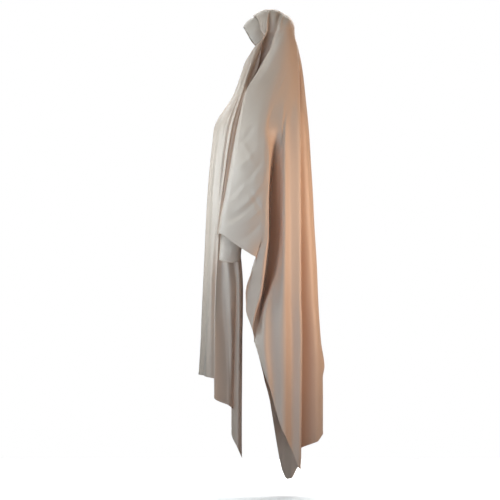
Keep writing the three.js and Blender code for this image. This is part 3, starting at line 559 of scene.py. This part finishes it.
def waves(a, b, seed, count, low, high):
    """Sum of plane waves with seeded directions and phases; wavelengths between low and high, in metres."""
    rng = np.random.default_rng(seed)
    total = np.zeros(np.broadcast(a, b).shape)
    for _ in range(count):
        angle = rng.uniform(0, math.pi)
        length = rng.uniform(low, high)
        phase = rng.uniform(0, 2 * math.pi)
        total += np.sin(2 * math.pi * (a * math.cos(angle) + b * math.sin(angle)) / length + phase)
    return total / math.sqrt(count)


def sleeve_wrinkles(y, drop):
    """Sum of the wrinkles: height times a Gaussian of the distance from each bowed line, fading at its
    ends."""
    total = np.zeros(y.shape)
    for w in SLEEVE_WRINKLES:
        (y0, d0), (y1, d1) = w["start"], w["end"]
        length = math.hypot(y1 - y0, d1 - d0)
        ey, ed = (y1 - y0) / length, (d1 - d0) / length
        py, pd = y / MM - y0, drop / MM - d0
        along = (py * ey + pd * ed) / length
        aside = -py * ed + pd * ey + WRINKLE_BOW * np.sin(math.pi * np.clip(along, 0, 1))
        fade = plateau(along, -0.1, 0.35, 0.65, 1.1)
        total += w["height"] * MM * np.exp(-((aside / w["width"]) ** 2)) * fade
    return total


def small_folds(table, u, drop, key="height"):
    """Sum over the table: the key's value, or zero without one, times exp(-|(u - at) / wide|^sharp), with
    each start and end eased."""
    total = np.zeros(np.broadcast(u, drop).shape)
    for fold in table:
        begin, *_, end = fold["drops"]
        share = np.clip((drop - begin) / (end - begin), 0, 1)
        runs = fold["at"], fold.get(key, (0, 0))
        at, height = (upper + (lower - upper) * share for upper, lower in runs)
        aside = u - at
        aside = np.abs(aside / np.where(aside < 0, *fold["wide"]))
        total += height * MM * plateau(drop, *fold["drops"]) * np.exp(-(aside ** fold["sharp"]))
    return total


def cape_relief(u, drop, points):
    """Height of the small folds over the cape's main folds, in metres."""
    y = points[..., 1]
    pleat = np.abs(np.sin(math.pi * GATHERS * u)) ** GATHER_SHARPNESS - 1
    gather = pleat * (GATHER_DEPTH + GATHER_SWELL * step(drop, 0.015, 0.06)) * MM
    gather *= plateau(u, 0.0, 0.12, 0.95, 1.25) * (1 - step(drop, drop_of("brow"), drop_of("jaw")))
    on_arm = plateau(u, 2.9, 3.3, 7.0, 7.6) * step(drop, 0.3, 0.42)
    soft = waves(y, drop, seed=5, count=5, low=0.07, high=0.16) * 0.9 * MM
    arm = on_arm * (sleeve_wrinkles(y, drop) + soft)
    low = step(drop, 0.3, 1.2)
    rear = step(u, 10.5, 12.0)
    hang = rear * low * waves(u * 0.05, drop * 0.3, seed=9, count=4, low=0.06, high=0.3) * MM
    sway = waves(y, drop * 0.25, seed=21, count=5, low=0.05, high=0.12) * 0.8 * MM * step(drop, 0.2, 0.5)
    return gather + arm + hang + sway + small_folds(CAPE_FOLDS, u, drop)


def crown_round(y, drop):
    """Sum of the crown's swells, Gaussians along y that fade down the hood."""
    rise = sum(s["height"] * np.exp(-(((y / MM - s["at"]) / s["wide"]) ** 2)) for s in CROWN_SWELLS)
    return rise * MM * (1 - step(drop, 0.03, 0.07))


def hem_relief(height_left):
    """How much the sewn hem stands out from the sheet, at a height above its lower edge."""
    return HEM_RELIEF * (1 - step(height_left, HEM_WIDTH * HEM_FULL, HEM_WIDTH))


def cape_side(side):
    """Half of the cape as a grid: rows from the crown down to the hem, columns from the front edge to the
    centre back. Over the head the rows follow the hood, and below the temple they follow the folds."""
    columns = fold_columns(CAPE_COLUMNS)[None, :]
    turns = (np.arange(CROWN_ROWS) / CROWN_ROWS * math.pi / 2)[:, None]
    u = columns + 0 * turns
    top = hood(u, turns + 0 * columns)
    ends = [f["hem"] * BACK_DROP if "hem" in f else f["sleeve"] * SLEEVE_DROP for f in BACK_FOLDS]
    end = across(ends, columns)
    if side < 0:
        end = end + FAR_SIDE_EXTRA * across([f.get("far", 0) for f in BACK_FOLDS], columns)
    drop = row_drops(drop_of("temple"), end, CAPE_ROWS)
    u_low = columns + 0 * drop
    low = folded(BACK_COURSES, u_low, drop, crisp=CRISP * step(u_low, 6.6, 7.4) * step(drop, 0.4, 0.55))
    low[..., 0] -= small_folds(CAPE_TUCKS, u_low, drop, "inward")
    low[..., 1] -= small_folds(CAPE_TUCKS, u_low, drop, "ahead")
    points = np.concatenate([top, low])
    u_all = np.concatenate([u, u_low])
    drop_all = np.concatenate([-top[..., 2], drop])
    left = np.concatenate([np.ones_like(u), end - drop])
    height = cape_relief(u_all, drop_all, points)
    height[:CROWN_ROWS] *= step(turns, 0.2, 0.8)
    height += crown_round(points[..., 1], drop_all)
    near_edge = np.exp(-((u_all / EDGE_DIP_WIDTH) ** 1.5))
    height += hem_relief(left) - EDGE_DIP * near_edge * (1 - step(drop_all, 0.09, 0.15))
    outward = raised(points, height)
    outward[..., 2] += WALL
    outward[np.abs(points[..., 0]) < ON_MIDDLE, 0] = 0
    return outward * np.array([side, 1, 1])


def joined_at_middle(name, meshes):
    """Joins meshes and merges their vertices on the plane x = 0."""
    work = bmesh.new()
    for mesh in meshes:
        work.from_mesh(mesh)
        bpy.data.meshes.remove(mesh)
    middle = [v for v in work.verts if abs(v.co.x) < ON_MIDDLE]
    bmesh.ops.remove_doubles(work, verts=middle, dist=1e-5)
    joined = bpy.data.meshes.new(name)
    work.to_mesh(joined)
    work.free()
    return joined


def make_cape(cloth):
    """The cape: both halves, joined over the crown and down the centre back."""
    halves = [sheet_mesh(f"half_{side}", cape_side(side), flip=side < 0) for side in (1, -1)]
    cape = placed("cape", joined_at_middle("cape", halves), cloth)
    thicken(cape)
    return cape


def make_front(cloth):
    """The front panel with its side flaps, from one flap's edge to the other's."""
    half = fold_columns(FRONT_COLUMNS)
    columns = np.concatenate([-half[:0:-1], half])[None, :]
    u = np.abs(columns)
    top = across([f["top"][0] * CHIN_DROP for f in FRONT_FOLDS], u)
    ends = [f["flap"] * FLAP_DROP if "flap" in f else f["front"] * FRONT_DROP for f in FRONT_FOLDS]
    end = across(ends, u)
    drop = row_drops(top, end, FRONT_ROWS)
    points = folded(FRONT_COURSES, u + 0 * drop, drop)
    points[..., 0] -= small_folds(FRONT_TUCKS, u, drop, "inward")
    points[..., 0] *= np.sign(columns)
    x = points[..., 0]
    height = waves(x, drop * 0.2, seed=33, count=5, low=0.07, high=0.2) * 1.2 * MM * step(drop, 0.25, 0.5)
    height += hem_relief(end - drop) + small_folds(FRONT_PLEATS, u, drop)
    outward = raised(points, height)
    outward[..., 2] += WALL
    front = placed("front_panel_cloth", sheet_mesh("front", outward, flip=True), cloth)
    thicken(front)
    return front


def band_rear(t):
    """The band's hidden edge: the cape's front edge moved in and back under the gathers."""
    turn = np.clip(t / BAND_DOME, 0, 1) * math.pi / 2
    under = np.clip((t - BAND_DOME) / (1 - BAND_DOME), 0, 1)
    drop = drop_of("temple") + (drop_of("brow") - drop_of("temple")) * under
    zero = np.zeros_like(t)
    point = np.where((under > 0)[..., None], folded(BACK_COURSES, zero, drop), hood(zero, turn))
    return point - away_from_head(point) * BAND_DEPTH + np.array([0, BAND_LAP, 0])


def make_band(cloth):
    """The forehead band: straight lines from its face edge to its hidden edge, bulged over the head."""
    share = (np.arange(BAND_ROWS + 1) / BAND_ROWS)[:, None]
    signed = (np.arange(-BAND_HALF_COLUMNS, BAND_HALF_COLUMNS + 1) / BAND_HALF_COLUMNS)[None, :]
    t = np.abs(signed)
    at = [s["at"] for s in BAND_SECTIONS]

    def value(key):
        """The key's value at t, smooth across the middle of the forehead, where only out changes its sign."""
        values = [s[key] for s in BAND_SECTIONS]
        return smooth([-at[1], *at], [values[1] * (-1 if key == "out" else 1), *values], t)

    edge = [value("out") * HEAD_HALF_WIDTH, head_y(value("along")), -value("drop") * CHIN_DROP]
    face = np.stack(edge, axis=-1)
    points = face + (band_rear(t) - face) * share[..., None]
    bulge = value("bulge") * CHIN_DROP * np.sin(math.pi * share)
    points = points + away_from_head(points) * bulge[..., None]
    points[..., 0] *= np.sign(signed)
    points[..., 2] += WALL
    points = points[::-1]
    band = placed("forehead_band_cloth", sheet_mesh("band", points, flip=True), cloth)
    thicken(band, BAND_CLOTH)
    return band


def sleeve_inside(y, drop):
    """x of the sleeve's inner face over a point between the shoulder edge and the arm's front fold."""
    first = [f["name"] for f in BACK_FOLDS].index("shoulder_edge")
    level = np.minimum(drop, SLEEVE_DROP * BACK_FOLDS[first]["sleeve"])
    edge, plane = (folded(BACK_COURSES, np.full(drop.shape, float(k)), level) for k in (first, first + 1))
    share = np.clip((y - edge[..., 1]) / (plane[..., 1] - edge[..., 1]), 0, 1)
    return edge[..., 0] + (plane[..., 0] - edge[..., 0]) * share - WALL


def make_cuff(side, name, cloth):
    """A cuff with the narrow end of the inner sleeve: ellipses down a tapering tube, with soft rings of
    folds."""
    share = (np.arange(CUFF_ROWS + 1) / CUFF_ROWS)[:, None]
    turn = (np.arange(CUFF_COLUMNS) / CUFF_COLUMNS * 2 * math.pi)[None, :]
    at = [s["at"] for s in CUFF_SECTIONS]

    def value(key):
        return smooth(at, [s[key] for s in CUFF_SECTIONS], share)

    drop = CUFF_DROP - CUFF_LENGTH * (1 - share)
    depth, width = CUFF_DEPTH * value("depth"), CUFF_WIDTH * value("width")
    front = body_y(value("front"))
    out = sleeve_inside(front, drop) - LAP
    over, back = np.cos(turn), np.sin(turn)
    x = out + (width / 2) * (over - 1)
    y = front + (depth / 2) * (1 + back)
    z = -drop - (CUFF_SLANT / 2) * share * back
    z = z - CUFF_DIP * share**3 * (0.5 + 0.5 * over) + 2 * CUFF_DIP * share**3 * np.clip(back, 0, 1) ** 2
    points = np.stack([x, y + 0 * over, z + 0 * over], axis=-1)
    ring = waves(turn * 0.03, share * 0.25, seed=41, count=5, low=0.03, high=0.08) * 0.9 * MM
    seam = -CUFF_SEAM * np.exp(-(((share - CUFF_SEAM_AT) / CUFF_SEAM_WIDTH) ** 2))
    hem = hem_relief(CUFF_LENGTH * (1 - share)) + 0 * over
    points = raised(points, ring + seam + hem)
    points[..., 2] += WALL
    points *= np.array([side, 1, 1])
    cuff = placed(name, sheet_mesh(name, points, flip=side > 0, loop=True), cloth)
    thicken(cuff, CUFF_CLOTH)
    return cuff


# Finishes

STITCH_PITCH = 3.2 * MM
STITCH_HALF_WIDTH = 0.45 * MM
STITCH_SHARE = 0.68  # of the pitch
STITCH_LINE = 0.82  # height of the stitches, as a share of the hem's width
BUMP_DEPTH = 0.25 * MM


class Nodes:
    """Short calls for building a material's nodes."""

    def __init__(self, name):
        self.material = bpy.data.materials.new(name)
        self.material.use_nodes = True
        self.tree = self.material.node_tree
        self.shader = self.tree.nodes["Principled BSDF"]

    def add(self, kind, inputs=(), **settings):
        node = self.tree.nodes.new(kind)
        for key, value in settings.items():
            setattr(node, key, value)
        for key, value in dict(inputs).items():
            if isinstance(value, bpy.types.NodeSocket):
                self.tree.links.new(value, node.inputs[key])
            else:
                node.inputs[key].default_value = value
        return node

    def math(self, operation, a, b=0.0):
        return self.add("ShaderNodeMath", {0: a, 1: b}, operation=operation).outputs[0]

    def uv(self, name):
        return self.add("ShaderNodeUVMap", uv_map=name).outputs["UV"]

    def noise(self, vector, scale, detail):
        node = self.add("ShaderNodeTexNoise", {"Vector": vector, "Scale": scale, "Detail": detail})
        return node.outputs["Fac"]

    def blend(self, factor, first, second):
        node = self.add("ShaderNodeMix", data_type="RGBA")
        for socket, value in ((0, factor), (6, first), (7, second)):
            if isinstance(value, bpy.types.NodeSocket):
                self.tree.links.new(value, node.inputs[socket])
            else:
                node.inputs[socket].default_value = value
        return node.outputs[2]


def weave_height(nodes, threads, twill):
    """Height of a weave: sine threads both ways, the second shifted along by twill threads for each first."""
    parts = nodes.add("ShaderNodeSeparateXYZ", {0: nodes.uv("cloth")})
    warp = nodes.math("MULTIPLY", parts.outputs[0], threads * 2 * math.pi)
    weft = nodes.math("MULTIPLY", parts.outputs[1], threads * 2 * math.pi)
    slanted = nodes.math("ADD", weft, nodes.math("MULTIPLY", warp, twill))
    return nodes.math("MULTIPLY", nodes.math("SINE", warp), nodes.math("SINE", slanted))


def stitch_mask(nodes):
    """1 on the stitches of the hem's row, and 0 beside them and between them."""
    parts = nodes.add("ShaderNodeSeparateXYZ", {0: nodes.uv("hem")})
    aside = nodes.math("ABSOLUTE", nodes.math("SUBTRACT", parts.outputs[1], HEM_WIDTH * STITCH_LINE))
    row = nodes.math("LESS_THAN", aside, STITCH_HALF_WIDTH)
    phase = nodes.math("FRACT", nodes.math("DIVIDE", parts.outputs[0], STITCH_PITCH))
    dash = nodes.math("LESS_THAN", phase, STITCH_SHARE)
    return nodes.math("MULTIPLY", row, dash)


def cloth_material(name, light, deep, roughness, threads, twill, relief, sheen):
    """A woven cloth: two near colours mixed by soft noise, a weave in the bump, and stitched hems."""
    nodes = Nodes(name)
    place = nodes.add("ShaderNodeTexCoord").outputs["Object"]
    tone = nodes.noise(place, scale=5.0, detail=4.0)
    fleck = nodes.noise(place, scale=420.0, detail=2.0)
    mix = nodes.math("ADD", nodes.math("MULTIPLY", tone, 0.55), nodes.math("MULTIPLY", fleck, 0.45))
    color = nodes.blend(mix, light, deep)
    stitches = stitch_mask(nodes)
    thread = [c * 0.8 for c in light[:3]] + [1]
    color = nodes.blend(nodes.math("MULTIPLY", stitches, 0.7), color, thread)
    nodes.tree.links.new(color, nodes.shader.inputs["Base Color"])
    pebble = nodes.noise(place, scale=900.0, detail=2.0)
    height = nodes.math("ADD", nodes.math("MULTIPLY", weave_height(nodes, threads, twill), 0.5), pebble)
    height = nodes.math("ADD", height, nodes.math("MULTIPLY", stitches, 1.5))
    bump = nodes.add("ShaderNodeBump", {"Height": height, "Strength": relief, "Distance": BUMP_DEPTH})
    nodes.tree.links.new(bump.outputs[0], nodes.shader.inputs["Normal"])
    shine = nodes.add("ShaderNodeMapRange", {0: tone, 3: roughness - 0.05, 4: roughness + 0.07}).outputs[0]
    nodes.tree.links.new(shine, nodes.shader.inputs["Roughness"])
    nodes.shader.inputs["Specular IOR Level"].default_value = 0.45
    nodes.shader.inputs["Sheen Weight"].default_value = sheen
    nodes.shader.inputs["Sheen Roughness"].default_value = 0.4
    nodes.shader.inputs["Sheen Tint"].default_value = (1.0, 0.93, 0.86, 1)
    return nodes.material


def floor_material():
    """Pale matt floor with a faint mottle."""
    nodes = Nodes("studio_floor")
    place = nodes.add("ShaderNodeTexCoord").outputs["Object"]
    tone = nodes.noise(place, scale=2.0, detail=3.0)
    color = nodes.blend(tone, (0.86, 0.86, 0.86, 1), (0.9, 0.9, 0.9, 1))
    nodes.tree.links.new(color, nodes.shader.inputs["Base Color"])
    nodes.shader.inputs["Roughness"].default_value = 0.8
    return nodes.material


# Studio

VIEW_WIDTH = 1.7
CAMERA_DISTANCE = 16.0
AIM = (0, -61.2 * MM, -815.4 * MM)
FLOOR_DROP = 1.66
FLOOR_HALF = 3.0

# The studio's lights: a cool window in front, a warm room behind, and what fills in from above and below.
# Metres, watts and degrees.
LIGHTS = [
    dict(name="window", at=(0.3, -1.05, -0.45), to=(0, -0.1, -0.55), size=0.7, power=4.2,
         color=(0.6, 0.82, 1.0), spread=100),
    dict(name="side", at=(1.5, -0.75, -0.8), to=(0, 0, -0.8), size=1.0, power=10.5,
         color=(0.48, 0.75, 1.0)),
    dict(name="skylight", at=(0.8, -0.9, 0.7), to=(0, -0.1, -0.3), size=0.8, power=4.2,
         color=(0.6, 0.8, 1.0)),
    dict(name="room", at=(0.5, 1.25, -0.68), to=(0, 0.1, -0.68), size=0.8, power=5.0,
         color=(1.0, 0.82, 0.66), spread=100),
    dict(name="low", at=(1.75, 0.15, -1.5), to=(0, 0, -1.35), size=0.8, power=0.85,
         color=(0.78, 0.86, 1.0), spread=64),
    dict(name="ceiling", at=(0, 0, 2.4), to=(0, 0, 0), size=4.0, power=32,
         color=(0.7, 0.92, 1.0)),
    dict(name="lamp", at=(1.5, -0.3, 0.7), to=(0.1, 0, -0.25), size=0.7, power=0.8,
         color=(0.74, 0.88, 1.0), spread=80),
    dict(name="far_window", at=(-2.2, 0, 0.4), to=(-1.6, 0, -1.66), size=2.4, power=80,
         color=(1.0, 0.99, 0.97)),
]
FLOOR_LIGHT = dict(name="floor_light", at=(0, 0, 3), to=(0, 0, 0), size=8.0, power=330,
                   color=(1.0, 0.99, 0.97))


def aimed(thing, position, target):
    """Places a camera or a light and turns it to its target."""
    thing.location = position
    thing.rotation_euler = (Vector(target) - Vector(position)).to_track_quat("-Z", "Y").to_euler()


def make_camera():
    """Looks at the wearer's left side, level as in the photograph, and from far enough for a nearly flat
    outline."""
    lens = bpy.data.cameras.new("camera")
    lens.sensor_width = 36
    lens.lens = lens.sensor_width * CAMERA_DISTANCE / VIEW_WIDTH
    lens.clip_end = 100
    camera = bpy.data.objects.new("camera", lens)
    bpy.context.scene.collection.objects.link(camera)
    aimed(camera, (CAMERA_DISTANCE, AIM[1], AIM[2]), AIM)
    bpy.context.scene.camera = camera


def area_light(name, at, to, size, power, color, spread=180):
    """A round soft light, whose beam is spread degrees wide."""
    lamp = bpy.data.lights.new(name, "AREA")
    lamp.shape = "DISK"
    lamp.size = size
    lamp.energy = power
    lamp.spread = math.radians(spread)
    lamp.color = color
    light = bpy.data.objects.new(name, lamp)
    light.visible_camera = False
    bpy.context.scene.collection.objects.link(light)
    aimed(light, at, to)
    return light


def light_only(light, receiver):
    """Lets a light reach one object and nothing else."""
    group = bpy.data.collections.new(light.name)
    group.objects.link(receiver)
    light.light_linking.receiver_collection = group


def make_world(front, rear, strength):
    """Surroundings that light the veil with one colour from the front and another from the rear, and that
    look white to the camera."""
    world = bpy.data.worlds.new("studio")
    bpy.context.scene.world = world
    world.use_nodes = True
    tree = world.node_tree
    coordinates = tree.nodes.new("ShaderNodeTexCoord")
    split = tree.nodes.new("ShaderNodeSeparateXYZ")
    tree.links.new(coordinates.outputs["Generated"], split.inputs[0])
    spread = tree.nodes.new("ShaderNodeMapRange")
    spread.inputs[1].default_value = -0.6
    spread.inputs[2].default_value = 0.6
    tree.links.new(split.outputs[1], spread.inputs[0])
    ramp = tree.nodes.new("ShaderNodeMix")
    ramp.data_type = "RGBA"
    ramp.inputs[6].default_value = (*[c * strength for c in front], 1)
    ramp.inputs[7].default_value = (*[c * strength for c in rear], 1)
    tree.links.new(spread.outputs[0], ramp.inputs[0])
    path = tree.nodes.new("ShaderNodeLightPath")
    seen = tree.nodes.new("ShaderNodeMix")
    seen.data_type = "RGBA"
    seen.inputs[7].default_value = (1, 1, 1, 1)
    tree.links.new(path.outputs["Is Camera Ray"], seen.inputs[0])
    tree.links.new(ramp.outputs[2], seen.inputs[6])
    tree.links.new(seen.outputs[2], tree.nodes["Background"].inputs[0])


def make_floor():
    """A level square under the veil, which throws no light back on it."""
    mesh = bpy.data.meshes.new("floor")
    corners = [(x * FLOOR_HALF, y * FLOOR_HALF, -FLOOR_DROP) for x, y in ((-1, -1), (1, -1), (1, 1), (-1, 1))]
    mesh.from_pydata(corners, [], [(0, 1, 2, 3)])
    floor = placed("floor", mesh, floor_material())
    floor.visible_diffuse = False
    return floor


bpy.context.scene.view_settings.view_transform = "Standard"
make_camera()
make_world(front=(0.75, 0.9, 1.0), rear=(1.0, 0.8, 0.62), strength=0.04)
floor = make_floor()
for light in LIGHTS:
    area_light(**light)
light_only(area_light(**FLOOR_LIGHT), floor)

crepe = cloth_material("satin_crepe", light=(0.71, 0.48, 0.345, 1), deep=(0.645, 0.425, 0.3, 1),
                       roughness=0.46, threads=900, twill=0.5, relief=0.35, sheen=0.25)
twill = cloth_material("band_twill", light=(0.69, 0.48, 0.35, 1), deep=(0.62, 0.425, 0.31, 1),
                       roughness=0.55, threads=500, twill=1.0, relief=0.6, sheen=0.3)

cape = make_cape(crepe)
front = make_front(crepe)
band = make_band(twill)
cuffs = {side: make_cuff(sign, f"cuff_{side}_cloth", crepe) for side, sign in (("left", 1), ("right", -1))}

for piece in (cape, front, band, *cuffs.values()):
    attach(piece, "root")
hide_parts("back_panel_left", "back_panel_right")
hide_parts("front_panel")
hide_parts("forehead_band")
for side, piece in cuffs.items():
    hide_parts(f"cuff_{side}")
